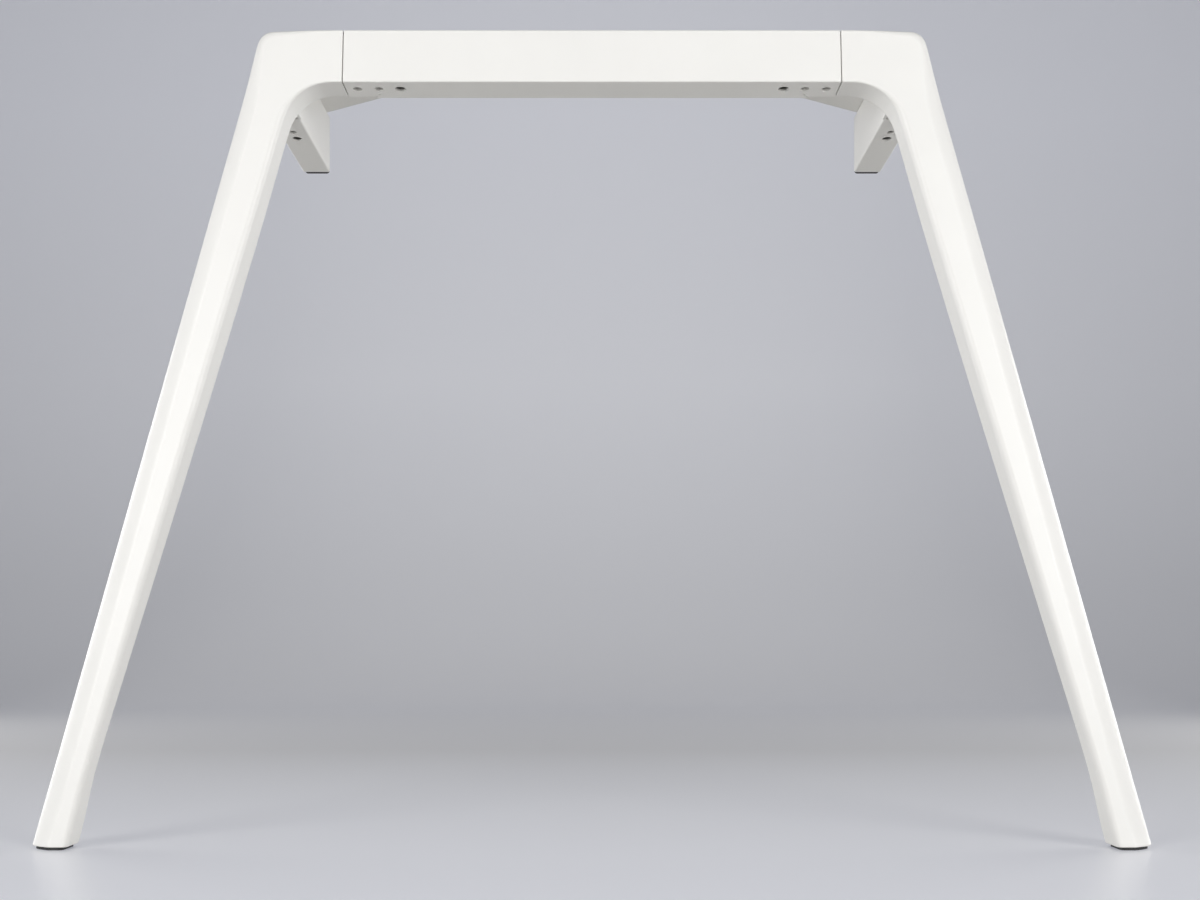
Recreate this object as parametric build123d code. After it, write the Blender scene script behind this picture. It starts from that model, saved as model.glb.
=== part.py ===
# A-shaped end frame of a desk: two splayed cast legs, the crossbar that joins them,
# and a short rail arm with its top gusset behind each shoulder.
# Units are millimetres. X runs along the crossbar, Y from the front face to the back, Z up.
# The origin is on the floor, under the middle of the frame's width and depth.
from build123d import *
from math import atan, cos, hypot, pi, radians, sin, sqrt, tan
import os

# Overall outline, seen from the front
overall_height = 710.0
foot_reach = 490.7
shoulder_reach = 287.7
shoulder_radius = 15.0
inner_bend_radius = 44.0
leg_width_top = 42.2
leg_width_foot = 33.0

# Depth of the leg, in the shoulder and at shares of the way from the bend to the heel
leg_depth = 28.0
leg_depth_under_bend = 29.0
leg_depth_widest = 30.6
leg_depth_middle = 28.6
leg_depth_lower = 25.4
leg_depth_above_heel = 22.7
leg_depth_at_heel = 22.4
heel_depth = 27.5
heel_height = 75.0
heel_flare = 2.0

# Edges of the leg's section, and the crowned facet that runs down its outer front
sharp_edge = 1.6
leg_inner_edge = 4.5
leg_back_edge = 3.5
crown_width_top = 15.5
crown_width_foot = 20.0
crown_drop_top = 9.5
crown_drop_foot = 13.0
sole_edge = 1.2

# How far a corner's curve is pulled to its apex, at either end
round_pull = 0.5523
crown_pull_front = 0.15
crown_pull_side = 0.32

# Sections that the casting is lofted through
bend_steps = 16
heel_steps = 5

# Crossbar
bar_height = 45.0
bar_depth = 32.0
bar_wall = 2.5
bar_back_wall = 6.0
bar_back_edge = 2.0
seam_reach = 216.0
seam_gap = 1.0
seam_draft = 1.4
relief_length = 25.0
relief_corner = 2.4

# Spigot of each casting inside the crossbar, and its grub screws
spigot_length = 38.0
spigot_root = 4.0
spigot_clearance = 0.3
spigot_edge = 1.5
grub_diameter = 6.0
grub_length = 16.0
grub_socket = 3.0
grub_socket_depth = 4.0
grub_tip_gap = 0.1
thread_clearance = 0.05
bore_runout = 2.0

# Holes in the crossbar's underside
access_hole = 8.0
access_set_in = 10.6
hole_pitch = 18.8
cable_hole = 9.6
hanging_hole = 2.0
hanging_hole_set_in = 28.0
hanging_hole_at = 24.5

# Rail arm, a rectangular tube that runs straight back
arm_inner_reach = 262.5
arm_width = 26.5
arm_height = 55.0
arm_wall = 2.0
arm_edge = 1.6
arm_front = 42.0
arm_back = 159.5
rail_hole_small = 6.5
rail_hole_small_at = 69.0
rail_hole_large = 9.0
rail_hole_large_at = 83.0

# Open-bottomed saddle between the casting and the arm, and its two bolts
saddle_proud = 1.2
saddle_web = 3.0
saddle_edge = 1.0
seat_gap = 0.2
bolt_diameter = 8.0
bolt_clearance = 0.5
bolt_length = 22.0
bolt_head_diameter = 13.0
bolt_head_height = 8.0
bolt_socket = 6.0
bolt_socket_depth = 4.0
bolt_pitch = 25.0
bolt_rise = 14.0
washer_diameter = 16.0
washer_thickness = 1.6
washer_clearance = 0.2

# Gusset plate on top of the arm
plate_thickness = 4.0
plate_back_at = 149.0
plate_slant = 27.3
plate_outer_margin = 1.5
plate_outer_corner = 12.0
plate_inner_corner = 6.0
worktop_hole = 5.5
worktop_hole_reach = 225.0
worktop_hole_first_at = 50.0
worktop_hole_pitch = 50.0

# Plug in the arm's open end
cap_flange = 4.0
cap_side_inset = 1.0
cap_corner = 3.0
cap_insert = 12.0
cap_clearance = 0.3
cap_insert_wall = 2.0
cap_rib = 1.5

# Pad under each foot, and its screw
pad_thickness = 2.5
pad_side_inset = 3.5
pad_front_inset = 1.8
pad_corner = 4.0
pad_screw_diameter = 5.0
pad_screw_head = 9.0
pad_screw_head_height = 2.2
pad_screw_length = 18.0
pad_screw_recess = 0.3
pad_screw_clearance = 0.1
pad_head_clearance = 0.3
pad_screw_socket = 3.0
pad_screw_socket_depth = 1.4

# Places that follow from the sizes above
bar_bottom = overall_height - bar_height
bar_middle = overall_height - bar_height / 2
overall_depth = arm_back + cap_flange
front_y = -overall_depth / 2
plate_bottom = overall_height - plate_thickness
arm_bottom = plate_bottom - arm_height
arm_middle = arm_inner_reach + arm_width / 2
cavity_depth = bar_depth - bar_wall - bar_back_wall
spigot_middle = bar_wall + cavity_depth / 2
seam_slope = tan(radians(seam_draft))
outer_slope = (foot_reach - shoulder_reach) / overall_height
access_first = seam_reach - access_set_in
access_second = access_first - hole_pitch
cable_at = access_first - 2 * hole_pitch
hanging_hole_reach = seam_reach - hanging_hole_set_in
relief_reach = seam_reach - relief_length
leg_depth_at = {
    0.08: leg_depth_under_bend,
    0.25: leg_depth_widest,
    0.5: leg_depth_middle,
    0.75: leg_depth_lower,
    0.92: leg_depth_above_heel,
    1.0: leg_depth_at_heel,
}
grub_tip = overall_height - bar_wall - grub_tip_gap


def outer_x(z):
    """Outer side of the leg at a height."""
    return foot_reach - outer_slope * z


def inner_x(z):
    """Inner side of the leg at a height."""
    return outer_x(z) - leg_width_foot - (leg_width_top - leg_width_foot) * z / bar_bottom


inner_slope = (inner_x(0) - inner_x(bar_bottom)) / bar_bottom
inner_lean = atan(inner_slope)
outer_lean = atan(outer_slope)

# Centres of the two bends, each tangent to the level run and to the leg
bend_z = bar_bottom - inner_bend_radius
bend_x = inner_x(bend_z) - inner_bend_radius / cos(inner_lean)
shoulder_z = overall_height - shoulder_radius
shoulder_x = outer_x(shoulder_z) - shoulder_radius / cos(outer_lean)


def at(x, depth, z):
    """Point given by its depth behind the front face."""
    return Vector(x, front_y + depth, z)


def outline_point(angle):
    """Point of the outer outline on a ray from the inner bend's centre, angle off vertical."""
    across, up = sin(angle), cos(angle)
    top_x = bend_x + (overall_height - bend_z) * across / up
    if top_x <= shoulder_x:
        return top_x, overall_height
    x, z = side_point(bend_x, bend_z, angle)
    if z <= shoulder_z + shoulder_radius * sin(outer_lean):
        return x, z
    from_x, from_z = bend_x - shoulder_x, bend_z - shoulder_z
    along = from_x * across + from_z * up
    spare = from_x**2 + from_z**2 - shoulder_radius**2
    reach = -along + sqrt(along**2 - spare)
    return bend_x + reach * across, bend_z + reach * up


def side_point(x, z, angle):
    """Point of the leg's outer side on a ray from x, z, angle off vertical."""
    reach = (outer_x(z) - x) / (sin(angle) + outer_slope * cos(angle))
    return x + reach * sin(angle), z + reach * cos(angle)


def soft_corner(start, apex, end, start_pull=round_pull, end_pull=round_pull):
    """Curve from start to end, tangent to both sides that meet at apex."""
    near_start = tuple(s + start_pull * (a - s) for s, a in zip(start, apex))
    near_end = tuple(e + end_pull * (a - e) for e, a in zip(end, apex))
    return Bezier(start, near_start, near_end, end)


# Width, drop and both pulls of the facet at the seam, under the shoulder and at the foot
sharp_crown = (sharp_edge, sharp_edge, round_pull, round_pull)
top_crown = (crown_width_top, crown_drop_top, crown_pull_front, crown_pull_side)
foot_crown = (crown_width_foot, crown_drop_foot, crown_pull_front, crown_pull_side)


def leg_section(inner, outer, depth, crown, inner_edge, back_edge):
    """Section of the casting between a point of its inner and a point of its outer outline."""
    across, up = outer[0] - inner[0], outer[1] - inner[1]
    width = hypot(across, up)
    crown_width, drop, *pulls = crown
    plane = Plane(at(inner[0], 0, inner[1]), x_dir=(across, 0, up), z_dir=(-up, 0, across))
    edges = [
        Line((inner_edge, 0), (width - crown_width, 0)),
        soft_corner((width - crown_width, 0), (width, 0), (width, drop), *pulls),
        Line((width, drop), (width, depth - back_edge)),
        soft_corner((width, depth - back_edge), (width, depth), (width - back_edge, depth)),
        Line((width - back_edge, depth), (back_edge, depth)),
        soft_corner((back_edge, depth), (0, depth), (0, depth - back_edge)),
        Line((0, depth - back_edge), (0, inner_edge)),
        soft_corner((0, inner_edge), (0, 0), (inner_edge, 0)),
    ]
    return plane * Face(Wire(edges))


def between(start, end, share):
    """Value at a share of the way from start to end."""
    return start + (end - start) * share


def blended(start, end, share):
    """Values at a share of the way from each of start to its fellow in end."""
    return tuple(between(first, last, share) for first, last in zip(start, end))


def eased(share):
    """Share that leaves 0 and reaches 1 gently."""
    return share * share * (3 - 2 * share)


def leg_sections():
    """Sections of the casting from the seam, round the shoulder and down to the sole."""
    sections = []
    end_angle = pi / 2 - inner_lean

    # The casting's end leans by the draft, so the seam is closed all the way
    for share in (0, 0.5):
        low = (between(seam_reach + seam_slope * bar_height / 2, bend_x, share), bar_bottom)
        high = (between(seam_reach - seam_slope * bar_height / 2, bend_x, share), overall_height)
        sections.append(leg_section(low, high, leg_depth, sharp_crown, sharp_edge, sharp_edge))

    # The facet and the rounded edges grow round the bend, the inner edge last
    for step in range(bend_steps + 1):
        share = step / bend_steps
        angle = end_angle * share
        low = (bend_x + inner_bend_radius * sin(angle), bend_z + inner_bend_radius * cos(angle))
        sections.append(
            leg_section(
                low,
                outline_point(angle),
                leg_depth,
                blended(sharp_crown, top_crown, eased(share)),
                between(sharp_edge, leg_inner_edge, eased(share**2)),
                between(sharp_edge, leg_back_edge, eased(share)),
            )
        )

    leg_start = bend_z + inner_bend_radius * cos(end_angle)
    for share, depth in leg_depth_at.items():
        z = between(leg_start, heel_height, share)
        outer = side_point(inner_x(z), z, end_angle)
        crown = blended(top_crown, foot_crown, share)
        sections.append(
            leg_section((inner_x(z), z), outer, depth, crown, leg_inner_edge, leg_back_edge)
        )

    # The sections turn level and deepen towards the sole
    for step in range(1, heel_steps + 1):
        share = step / heel_steps
        z = between(heel_height, pad_thickness, share)
        x = inner_x(z) - heel_flare * eased(share)
        outer = side_point(x, z, between(end_angle, pi / 2, share))
        depth = between(leg_depth_at[1.0], heel_depth, eased(share))
        sections.append(leg_section((x, z), outer, depth, foot_crown, leg_inner_edge, leg_back_edge))
    return sections


def rounded_bar(width, depth, height, edge):
    """Upright block with its four upright edges rounded, centred on the origin."""
    block = Box(width, depth, height)
    return fillet(block.edges().filter_by(Axis.Z), edge)


# Middle of the sole, where the pad and its screw sit
sole_inner = inner_x(pad_thickness) - heel_flare
sole_outer = outer_x(pad_thickness)
sole_middle = (sole_inner + sole_outer) / 2

bolt_heights = (arm_bottom + bolt_rise, arm_bottom + bolt_rise + bolt_pitch)
saddle_front = leg_depth + seat_gap
saddle_width = arm_width + 2 * saddle_proud


def make_leg():
    """Right-hand leg: one casting with its shoulder and the spigot that enters the crossbar."""
    leg = loft(leg_sections())
    sole = leg.faces().sort_by(Axis.Z)[0]
    leg = fillet(sole.edges(), sole_edge)

    block_length = spigot_root + spigot_length
    spigot = Rot(0, 90, 0) * rounded_bar(
        bar_height - 2 * bar_wall - 2 * spigot_clearance,
        cavity_depth - 2 * spigot_clearance,
        block_length,
        spigot_edge,
    )
    leg += Pos(at(seam_reach + spigot_root - block_length / 2, spigot_middle, bar_middle)) * spigot

    # The thread is cut only behind the grub screw; below it the bore is as wide as the access
    wide_bore = grub_tip - grub_length - bore_runout - bar_bottom
    for x in (access_first, access_second):
        leg -= Pos(at(x, spigot_middle, bar_middle)) * Cylinder(
            grub_diameter / 2 + thread_clearance, bar_height
        )
        leg -= Pos(at(x, spigot_middle, bar_bottom + wide_bore / 2)) * Cylinder(
            access_hole / 2, wide_bore
        )

    # Each cutter starts as far outside the casting as the bore runs past the screw's tip
    bolt_reach = bolt_length - washer_thickness - saddle_web
    bolt_bore = Cylinder(bolt_diameter / 2 + thread_clearance, bolt_reach + 2 * bore_runout)
    for z in bolt_heights:
        leg -= Pos(at(arm_middle, leg_depth - bolt_reach / 2, z)) * Rot(90, 0, 0) * bolt_bore
    pad_bore = Cylinder(
        pad_screw_diameter / 2 + thread_clearance, pad_screw_length + 2 * bore_runout
    )
    leg -= Pos(at(sole_middle, heel_depth / 2, pad_thickness + pad_screw_length / 2)) * pad_bore
    return leg


def make_crossbar():
    """Hollow bar between the castings, relieved at both ends behind for the gusset plates."""
    half = seam_reach + seam_slope * bar_height
    down, back = bar_height / 2, bar_depth / 2
    outline = FilletPolyline(
        (-down, -back),
        (down, -back),
        (down, back),
        (-down, back),
        radius=[sharp_edge, sharp_edge, bar_back_edge, sharp_edge],
        close=True,
    )
    cavity = RectangleRounded(bar_height - 2 * bar_wall, cavity_depth, spigot_edge)
    section = make_face(outline) - Pos(0, bar_wall + cavity_depth / 2 - back) * cavity
    along = Plane(at(-half, back, bar_middle), x_dir=(0, 0, -1), z_dir=(1, 0, 0))
    bar = extrude(along * section, 2 * half)

    for side in (-1, 1):
        # The end is sawn to the same draft as the casting's
        end = at(side * (seam_reach - seam_gap), 0, bar_middle)
        bar = split(bar, Plane(end, z_dir=(side, 0, seam_slope)), keep=Keep.BOTTOM)
        relief = Box(2 * relief_length, 2 * (bar_depth - leg_depth), 2 * bar_height)
        bar -= Pos(at(side * seam_reach, bar_depth, bar_middle)) * relief
        corner = Cylinder(relief_corner / 2, 2 * bar_height)
        bar -= Pos(at(side * relief_reach, leg_depth, bar_middle)) * corner
        for x, depth, diameter in (
            (access_first, spigot_middle, access_hole),
            (access_second, spigot_middle, access_hole),
            (cable_at, spigot_middle, cable_hole),
            (hanging_hole_reach, hanging_hole_at, hanging_hole),
        ):
            hole = Cylinder(diameter / 2, 2 * bar_wall)
            bar -= Pos(at(side * x, depth, bar_bottom)) * hole
    return bar


def make_grub_screws():
    """Two grub screws that wedge the spigot against the crossbar's top wall."""
    screws = []
    for x in (access_first, access_second):
        body = Cylinder(grub_diameter / 2, grub_length)
        key = extrude(
            Pos(0, 0, -grub_length / 2) * RegularPolygon(grub_socket / 2, 6, major_radius=False),
            grub_socket_depth,
        )
        screws.append(Pos(at(x, spigot_middle, grub_tip - grub_length / 2)) * (body - key))
    return Compound(children=screws)


def make_arm():
    """Rail arm: a rectangular tube with two holes underneath."""
    length = arm_back - arm_front
    section = RectangleRounded(arm_width, arm_height, arm_edge)
    section -= RectangleRounded(arm_width - 2 * arm_wall, arm_height - 2 * arm_wall, arm_edge / 2)
    front = at(arm_middle, arm_front, arm_bottom + arm_height / 2)
    arm = extrude(Plane(front, x_dir=(-1, 0, 0), z_dir=(0, 1, 0)) * section, length)
    for depth, diameter in (
        (rail_hole_small_at, rail_hole_small),
        (rail_hole_large_at, rail_hole_large),
    ):
        arm -= Pos(at(arm_middle, depth, arm_bottom)) * Cylinder(diameter / 2, 3 * arm_wall)
    return arm


def make_saddle():
    """Open-bottomed saddle that is bolted to the casting and carries the end of the arm."""
    length = arm_front - saddle_front
    shell = Box(saddle_width, length, arm_height)
    shell = fillet(shell.edges().filter_by(Axis.Y), saddle_edge)
    pocket_width = arm_width - 2 * arm_wall
    pocket = Pos(0, saddle_web, -saddle_web) * Box(pocket_width, length, arm_height)
    middle = at(arm_middle, saddle_front + length / 2, arm_bottom + arm_height / 2)
    saddle = Pos(middle) * (shell - pocket)
    for z in bolt_heights:
        hole = Rot(90, 0, 0) * Cylinder(bolt_diameter / 2 + bolt_clearance, 3 * saddle_web)
        saddle -= Pos(at(arm_middle, saddle_front + saddle_web / 2, z)) * hole
    return saddle


def make_saddle_bolts():
    """Two cap screws that hold the saddle to the casting."""
    shank = Pos(0, 0, -bolt_length / 2) * Cylinder(bolt_diameter / 2, bolt_length)
    head = Pos(0, 0, bolt_head_height / 2) * Cylinder(bolt_head_diameter / 2, bolt_head_height)
    hexagon = Pos(0, 0, bolt_head_height) * RegularPolygon(bolt_socket / 2, 6, major_radius=False)
    screw = Rot(-90, 0, 0) * (shank + head - extrude(hexagon, -bolt_socket_depth))
    seat = saddle_front + saddle_web + washer_thickness
    return Compound(children=[Pos(at(arm_middle, seat, z)) * screw for z in bolt_heights])


def make_washers():
    """One washer under the head of each saddle bolt."""
    ring = Cylinder(washer_diameter / 2, washer_thickness)
    ring -= Cylinder(bolt_diameter / 2 + washer_clearance, 2 * washer_thickness)
    ring = Rot(90, 0, 0) * ring
    middle = saddle_front + saddle_web + washer_thickness / 2
    return Compound(children=[Pos(at(arm_middle, middle, z)) * ring for z in bolt_heights])


def round_upright(plate, corner, radius):
    """Plate with the upright edge nearest to a corner rounded."""
    edge = plate.edges().filter_by(Axis.Z).sort_by_distance(corner)[0]
    return fillet(edge, radius)


def make_gusset():
    """Plate on top of the arm that braces it to the crossbar and carries the worktop."""
    outer = arm_inner_reach + arm_width - plate_outer_margin
    front = leg_depth + seat_gap
    slant_front = plate_back_at - (arm_inner_reach - relief_reach) * tan(radians(plate_slant))
    corners = [
        at(relief_reach + seat_gap, front, 0),
        at(outer, front, 0),
        at(outer, plate_back_at, 0),
        at(arm_inner_reach, plate_back_at, 0),
        at(relief_reach + seat_gap, slant_front, 0),
    ]
    outline = Pos(0, 0, plate_bottom) * make_face(Polyline(*corners, close=True))
    plate = extrude(outline, plate_thickness)
    plate = round_upright(plate, at(outer, front, plate_bottom), plate_outer_corner)
    plate = round_upright(plate, at(relief_reach, slant_front, plate_bottom), plate_inner_corner)
    for depth in (worktop_hole_first_at, worktop_hole_first_at + worktop_hole_pitch):
        hole = Cylinder(worktop_hole / 2, 3 * plate_thickness)
        plate -= Pos(at(worktop_hole_reach, depth, plate_bottom + plate_thickness / 2)) * hole
    return plate


def make_end_cap():
    """Moulded plug that closes the arm: a flange and a hollow ribbed insert."""
    flange = rounded_bar(arm_width - 2 * cap_side_inset, arm_height, cap_flange, cap_corner)
    insert_width = arm_width - 2 * arm_wall - 2 * cap_clearance
    insert_height = arm_height - 2 * arm_wall - 2 * cap_clearance
    insert = rounded_bar(insert_width, insert_height, cap_insert, arm_edge / 2)
    hollow = Box(insert_width - 2 * cap_insert_wall, insert_height - 2 * cap_insert_wall, cap_insert)
    rib = Box(insert_width, cap_rib, cap_insert)
    insert = insert - hollow + rib
    plug = Pos(0, 0, cap_flange / 2) * flange + Pos(0, 0, -cap_insert / 2) * insert
    return Pos(at(arm_middle, arm_back, arm_bottom + arm_height / 2)) * Rot(-90, 0, 0) * plug


def make_pad():
    """Plastic pad under the sole, with a countersunk hole for its screw."""
    crown_width, drop, *pulls = foot_crown
    outline = leg_section(
        (sole_inner + pad_side_inset, 0),
        (sole_outer - pad_side_inset, 0),
        heel_depth - 2 * pad_front_inset,
        (crown_width - pad_side_inset, drop - pad_front_inset, *pulls),
        pad_corner,
        pad_corner,
    )
    pad = Pos(0, pad_front_inset, 0) * extrude(outline, pad_thickness)
    bore_radius = pad_screw_diameter / 2 + pad_screw_clearance
    pad -= Pos(at(sole_middle, heel_depth / 2, pad_thickness / 2)) * Cylinder(
        bore_radius, 2 * pad_thickness
    )
    mouth_radius = pad_screw_head / 2 + pad_head_clearance
    sink = Cone(mouth_radius, bore_radius, pad_screw_head_height)
    mouth = Cylinder(mouth_radius, pad_screw_recess)
    pad -= Pos(at(sole_middle, heel_depth / 2, pad_screw_recess + pad_screw_head_height / 2)) * sink
    pad -= Pos(at(sole_middle, heel_depth / 2, pad_screw_recess / 2)) * mouth
    return pad


def make_pad_screw():
    """Countersunk screw that holds the pad to the casting."""
    head = Cone(pad_screw_head / 2, pad_screw_diameter / 2, pad_screw_head_height)
    shank = Cylinder(pad_screw_diameter / 2, pad_screw_length)
    hexagon = RegularPolygon(pad_screw_socket / 2, 6, major_radius=False)
    key = extrude(hexagon, pad_screw_socket_depth)
    screw = Pos(0, 0, pad_screw_head_height / 2) * head
    screw += Pos(0, 0, pad_screw_head_height + pad_screw_length / 2) * shank
    return Pos(at(sole_middle, heel_depth / 2, pad_screw_recess)) * (screw - key)


os.makedirs("parts", exist_ok=True)
export_step(make_crossbar(), "parts/crossbar.step")
sides = {
    "leg": make_leg,
    "spigot_screws": make_grub_screws,
    "rail_arm": make_arm,
    "arm_saddle": make_saddle,
    "saddle_bolts": make_saddle_bolts,
    "saddle_washers": make_washers,
    "gusset": make_gusset,
    "arm_end_cap": make_end_cap,
    "foot_pad": make_pad,
    "foot_pad_screw": make_pad_screw,
}
for name, make in sides.items():
    piece = make()
    export_step(piece, f"parts/{name}_right.step")
    export_step(mirror(piece, about=Plane.YZ), f"parts/{name}_left.step")
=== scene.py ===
"""Desk end frame: two splayed cast legs on a crossbar, in a pale studio. Metres, Blender 4.5."""

from math import radians

import bmesh
import bpy
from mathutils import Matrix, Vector

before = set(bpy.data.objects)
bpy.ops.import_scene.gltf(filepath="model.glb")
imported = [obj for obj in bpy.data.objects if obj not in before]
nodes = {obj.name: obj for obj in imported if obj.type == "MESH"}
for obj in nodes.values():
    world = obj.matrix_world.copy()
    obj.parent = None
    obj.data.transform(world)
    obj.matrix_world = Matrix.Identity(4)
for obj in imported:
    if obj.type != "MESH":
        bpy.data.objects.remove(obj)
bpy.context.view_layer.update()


# Leg castings
# Each leg is one pressure die casting in aluminium, with the shoulder and a short level
# arm. It is shot-blasted, then powder-coated in a satin white with a fine orange peel.

# Drifts and reliefs are in millimetres, each relief as its size and its height
coat_light = "F7F6F3"
coat_dark = "F3F2EF"
coat_drift = 60
coat_roughness = (0.36, 0.41)
casting_wave = (24, 0.02)
casting_peel = (2.2, 0.004)


def linear(code):
    """Linear colour of an sRGB hex code."""
    shares = [int(code[place : place + 2], 16) / 255 for place in (0, 2, 4)]
    return (*(s / 12.92 if s <= 0.04045 else ((s + 0.055) / 1.055) ** 2.4 for s in shares), 1)


def add(tree, kind, inputs, **settings):
    """Adds a node with its settings, and sets or links its inputs by identifier."""
    node = tree.nodes.new(kind)
    for name, value in settings.items():
        setattr(node, name, value)
    sockets = {socket.identifier: socket for socket in node.inputs}
    for name, value in inputs.items():
        if isinstance(value, bpy.types.NodeSocket):
            tree.links.new(value, sockets[name])
        else:
            sockets[name].default_value = value
    return node


def finish(name, light, dark, drift, roughness, reliefs, edge=0.6, metallic=0.0):
    """Surface whose tone and sheen drift; drift, edge and reliefs' (size, height) are in mm."""
    surface = bpy.data.materials.new(name)
    surface.use_nodes = True
    tree = surface.node_tree
    shader = tree.nodes["Principled BSDF"]
    place = add(tree, "ShaderNodeTexCoord", {}).outputs["Object"]

    cloud = add(tree, "ShaderNodeTexNoise", {"Vector": place, "Scale": 1000 / drift, "Detail": 2})
    tone = add(
        tree,
        "ShaderNodeMix",
        {"Factor_Float": cloud.outputs[0], "A_Color": linear(dark), "B_Color": linear(light)},
        data_type="RGBA",
    )
    sheen = add(
        tree,
        "ShaderNodeMapRange",
        {"Value": cloud.outputs[0], "To Min": roughness[0], "To Max": roughness[1]},
    )
    tree.links.new(tone.outputs["Result"], shader.inputs["Base Color"])
    tree.links.new(sheen.outputs[0], shader.inputs["Roughness"])

    normal = add(tree, "ShaderNodeBevel", {"Radius": edge / 1000}, samples=4).outputs[0]
    for size, height in reliefs:
        relief = add(
            tree, "ShaderNodeTexNoise", {"Vector": place, "Scale": 1000 / size, "Detail": 1}
        )
        normal = add(
            tree,
            "ShaderNodeBump",
            {"Height": relief.outputs[0], "Distance": height / 1000, "Normal": normal},
        ).outputs[0]
    tree.links.new(normal, shader.inputs["Normal"])
    shader.inputs["Metallic"].default_value = metallic
    return surface


def dress(material, *names):
    """Gives CAD nodes a finish."""
    for name in names:
        for slot in nodes[name].material_slots:
            slot.material = material


# A warm white film with a soft sheen, finely pebbled over the slow wave of the cast skin
casting_coat = finish(
    "satin_powder_coat_on_casting",
    coat_light,
    coat_dark,
    coat_drift,
    coat_roughness,
    (casting_wave, casting_peel),
)
dress(casting_coat, "leg_left", "leg_right")


# Crossbar
# A hollow aluminium extrusion, sawn square, drilled from below and powder-coated with the
# castings. It slides over their spigots, and a hairline seam stays at each end.

bar_wave = (60, 0.01)
bar_peel = (2.2, 0.003)

# The same coat on an extruded face, so the peel is lower and the wave longer and flatter
bar_coat = finish(
    "satin_powder_coat_on_extrusion",
    coat_light,
    coat_dark,
    coat_drift,
    coat_roughness,
    (bar_wave, bar_peel),
)
dress(bar_coat, "crossbar")


# Grub screws
# Two hardened steel screws a side, with a hexagon socket and a black oxide film. They sit in
# the spigot's threads, over the bar's smaller holes, and press on the bar's top wall.

oxide_light = "3A3B3E"
oxide_dark = "2A2B2D"
oxide_drift = 3
oxide_roughness = (0.32, 0.5)
turning_marks = (0.6, 0.004)

# An oiled oxide film, nearly black, with a patchy low sheen and faint turning marks
grub_steel = finish(
    "black_oxide_steel",
    oxide_light,
    oxide_dark,
    oxide_drift,
    oxide_roughness,
    (turning_marks,),
    edge=0.2,
    metallic=1.0,
)
dress(grub_steel, "spigot_screws_left", "spigot_screws_right")


# Rail arms, saddles and gussets
# Short rectangular steel tubes, folded saddles and laser-cut plates, powder-coated apart
# from the castings, so the coat has a slightly coarser peel.

bracket_light = "F4F3F0"
bracket_dark = "F0EFEC"
bracket_roughness = (0.4, 0.45)
sheet_wave = (30, 0.015)
sheet_peel = (2.6, 0.005)

# A trace greyer and duller than the castings, and more coarsely pebbled
bracket_coat = finish(
    "satin_powder_coat_on_sheet_steel",
    bracket_light,
    bracket_dark,
    coat_drift,
    bracket_roughness,
    (sheet_wave, sheet_peel),
)
for side in ("left", "right"):
    dress(bracket_coat, f"rail_arm_{side}", f"arm_saddle_{side}", f"gusset_{side}")


# Saddle bolts, washers and foot pad screws
# Zinc-plated steel. Two cold-headed socket screws with plain washers bolt each saddle to
# its casting, and one countersunk screw holds each foot pad.

zinc_light = "CDD0D1"
zinc_dark = "BDC0C4"
zinc_drift = 2.5
zinc_roughness = (0.24, 0.38)
tumbling_dints = (1.2, 0.006)

# Bright plate with a cool cast, clouded by the bath and softly dinted by barrel tumbling
zinc = finish(
    "bright_zinc_plate",
    zinc_light,
    zinc_dark,
    zinc_drift,
    zinc_roughness,
    (tumbling_dints,),
    edge=0.25,
    metallic=1.0,
)
for side in ("left", "right"):
    dress(zinc, f"saddle_bolts_{side}", f"saddle_washers_{side}", f"foot_pad_screw_{side}")


# Arm end caps and foot pads
# Injection mouldings in black polyethylene, from a spark-eroded mould. The caps are pushed
# into the ends of the arms, and the pads are screwed on under the feet.

plastic_light = "212122"
plastic_dark = "191919"
plastic_drift = 12
plastic_roughness = (0.5, 0.6)
mould_grain = (0.5, 0.012)

# Soot-black, waxy and dull; the spark-eroded grain is some 0.1 mm, drawn at 0.5 mm to be seen
black_plastic = finish(
    "moulded_black_polyethylene",
    plastic_light,
    plastic_dark,
    plastic_drift,
    plastic_roughness,
    (mould_grain,),
    edge=0.3,
)
for side in ("left", "right"):
    dress(black_plastic, f"arm_end_cap_{side}", f"foot_pad_{side}")


# Studio floor and backdrop
# One seamless sheet in a pale grey paint, laid as the floor. Behind the frame it curves up
# in a quarter turn and stands as the backdrop, so no horizon line shows.

cove_reach_front = 3.5
cove_half_width = 4
cove_start = 1.95
cove_radius = 1.1
cove_steps = 24
cove_wall = 2.5
cove_colour = "CCCBC9"
cove_roughness = 0.35
painted_light_colour = "E7ECFF"
painted_light_side_fall = 0.022

sheet = bmesh.new()
ends = [sheet.verts.new((x, -cove_reach_front, 0)) for x in (-cove_half_width, cove_half_width)]
edge = sheet.edges.new(ends)
run = bmesh.ops.extrude_edge_only(sheet, edges=[edge])
back = [part for part in run["geom"] if isinstance(part, bmesh.types.BMVert)]
bmesh.ops.translate(sheet, verts=back, vec=(0, cove_start + cove_reach_front, 0))
turn = bmesh.ops.spin(
    sheet,
    geom=[part for part in run["geom"] if not isinstance(part, bmesh.types.BMFace)],
    cent=(0, cove_start, cove_radius),
    axis=(1, 0, 0),
    angle=radians(90),
    steps=cove_steps,
)
rise = bmesh.ops.extrude_edge_only(
    sheet, edges=[part for part in turn["geom_last"] if isinstance(part, bmesh.types.BMEdge)]
)
bmesh.ops.translate(
    sheet,
    verts=[part for part in rise["geom"] if isinstance(part, bmesh.types.BMVert)],
    vec=(0, 0, cove_wall),
)
cove_mesh = bpy.data.meshes.new("studio_cove")
sheet.to_mesh(cove_mesh)
sheet.free()
cove_mesh.shade_smooth()
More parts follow.
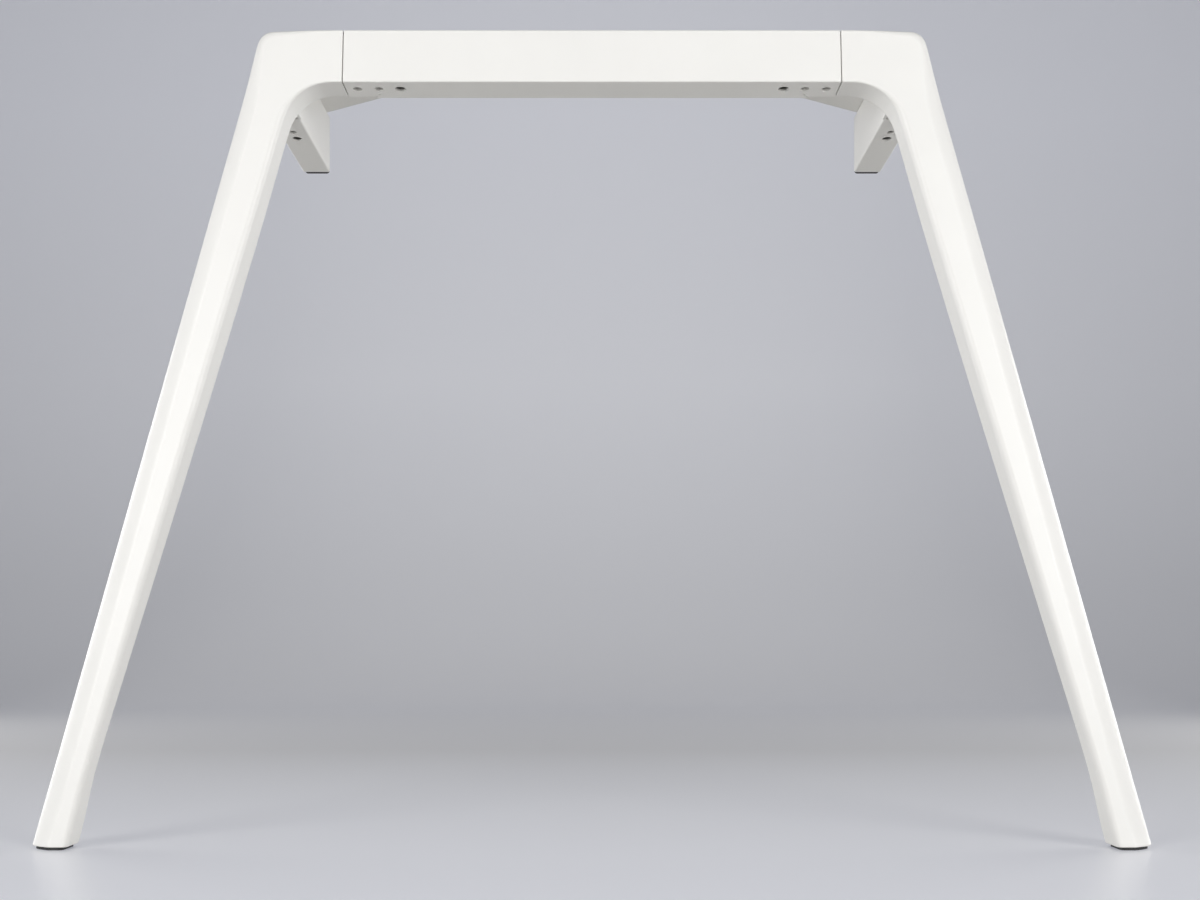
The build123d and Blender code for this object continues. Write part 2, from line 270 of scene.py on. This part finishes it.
cove = bpy.data.objects.new("studio_cove", cove_mesh)
bpy.context.collection.objects.link(cove)

# A pale paint with a soft sheen that mirrors the feet a little, and a cool painted light,
# an emission that only the camera or a reflection sees
cove_paint = bpy.data.materials.new("matt_grey_cove_paint")
cove_paint.use_nodes = True
cove_tree = cove_paint.node_tree
cove_shader = cove_tree.nodes["Principled BSDF"]
cove_shader.inputs["Base Color"].default_value = linear(cove_colour)
cove_shader.inputs["Roughness"].default_value = cove_roughness
cove_shader.inputs["Emission Color"].default_value = linear(painted_light_colour)

# The painted light changes with the way back plus the height, in metres: none far in front,
# a painted pool of light just before the frame, little behind it, then more and more up the turn
# and the wall
painted_light_start = -1.4
painted_light_end = 5.1
painted_light_at = {
    painted_light_start: 0.0,
    -0.3: 0.27,
    0.85: 0.08,
    painted_light_end: 0.32,
}
cove_place = add(cove_tree, "ShaderNodeTexCoord", {}).outputs["Object"]
along = add(
    cove_tree,
    "ShaderNodeVectorMath",
    {"Vector": cove_place, "Vector_001": (0, 1, 1)},
    operation="DOT_PRODUCT",
)
share = add(
    cove_tree,
    "ShaderNodeMapRange",
    {"Value": along.outputs["Value"], "From Min": painted_light_start, "From Max": painted_light_end},
)
painted_light_ramp = add(cove_tree, "ShaderNodeValToRGB", {"Fac": share.outputs[0]})
stops = painted_light_ramp.color_ramp.elements
stops.remove(stops[0])
for number, (distance, glow) in enumerate(painted_light_at.items()):
    position = (distance - painted_light_start) / (painted_light_end - painted_light_start)
    stop = stops[0] if number == 0 else stops.new(position)
    stop.position = position
    stop.color = (glow, glow, glow, 1)

# The painted light falls off towards the sides with the square of the distance from the middle
across = add(cove_tree, "ShaderNodeSeparateXYZ", {"Vector": cove_place}).outputs["X"]
across_squared = add(
    cove_tree, "ShaderNodeMath", {"Value": across, "Value_001": across}, operation="MULTIPLY"
)
fall = add(
    cove_tree,
    "ShaderNodeMath",
    {"Value": across_squared.outputs[0], "Value_001": -painted_light_side_fall, "Value_002": 1.0},
    operation="MULTIPLY_ADD",
    use_clamp=True,
)
painted_light_here = add(
    cove_tree,
    "ShaderNodeMath",
    {"Value": painted_light_ramp.outputs["Color"], "Value_001": fall.outputs[0]},
    operation="MULTIPLY",
)
rays = add(cove_tree, "ShaderNodeLightPath", {}).outputs
seen = add(
    cove_tree,
    "ShaderNodeMath",
    {"Value": rays["Is Camera Ray"], "Value_001": rays["Is Glossy Ray"]},
    operation="MAXIMUM",
)
painted_light_strength = add(
    cove_tree,
    "ShaderNodeMath",
    {"Value": seen.outputs[0], "Value_001": painted_light_here.outputs[0]},
    operation="MULTIPLY",
)
# Only camera and reflection rays see this painted light; it lights nothing in the scene
cove_tree.links.new(painted_light_strength.outputs[0], cove_shader.inputs["Emission Strength"])
cove_mesh.materials.append(cove_paint)


# Lamps and camera
# Two large softboxes in front, left and right, carry the front faces. Two weaker ones stand
# behind the frame and reach the legs' inner faces, over an even fill from all round.

# Each pair as the right-hand one's place, the side of its square face, and its watts
softboxes = {
    "front": ((1.7, -1.87, 0.7), 1.2, 32.3),
    "rear": ((2.1, 0.8, 0.6), 1.1, 17.5),
}
lamp_target = Vector((0, 0, 0.35))
for end, ((out, along_floor, up), size, watts) in softboxes.items():
    for side, sign in (("left", -1), ("right", 1)):
        lamp_data = bpy.data.lights.new(f"{side}_{end}_softbox", "AREA")
        lamp_data.size = size
        lamp_data.energy = watts
        lamp = bpy.data.objects.new(f"{side}_{end}_softbox", lamp_data)
        bpy.context.collection.objects.link(lamp)
        lamp.location = (sign * out, along_floor, up)
        aim = lamp_target - lamp.location
        lamp.rotation_euler = aim.to_track_quat("-Z", "Y").to_euler()

# The fill is weak, but the camera sees it as the backdrop's grey where the cove ends
fill_strength = 0.17
seen_strength = 0.5
world = bpy.data.worlds.new("studio_fill")
bpy.context.scene.world = world
world.use_nodes = True
fill = world.node_tree.nodes["Background"]
fill.inputs["Color"].default_value = (1, 1, 1, 1)
seen_fill = add(
    world.node_tree,
    "ShaderNodeMapRange",
    {
        "Value": add(world.node_tree, "ShaderNodeLightPath", {}).outputs["Is Camera Ray"],
        "To Min": fill_strength,
        "To Max": seen_strength,
    },
)
world.node_tree.links.new(seen_fill.outputs[0], fill.inputs["Strength"])

# The camera stands low in front and looks level, and its picture is shifted up and sideways
camera_distance = 1.0904
camera_height = 0.181
photo_width_px = 1200
shift_right_px = 8
shift_up_px = 191.4
camera_data = bpy.data.cameras.new("camera")
camera_data.lens = 35
camera_data.sensor_width = 36
camera_data.shift_x = shift_right_px / photo_width_px
camera_data.shift_y = shift_up_px / photo_width_px
camera = bpy.data.objects.new("camera", camera_data)
bpy.context.collection.objects.link(camera)
camera.location = (0, -camera_distance, camera_height)
camera.rotation_euler = (radians(90), 0, 0)
bpy.context.scene.camera = camera
bpy.context.scene.view_settings.view_transform = "Standard"
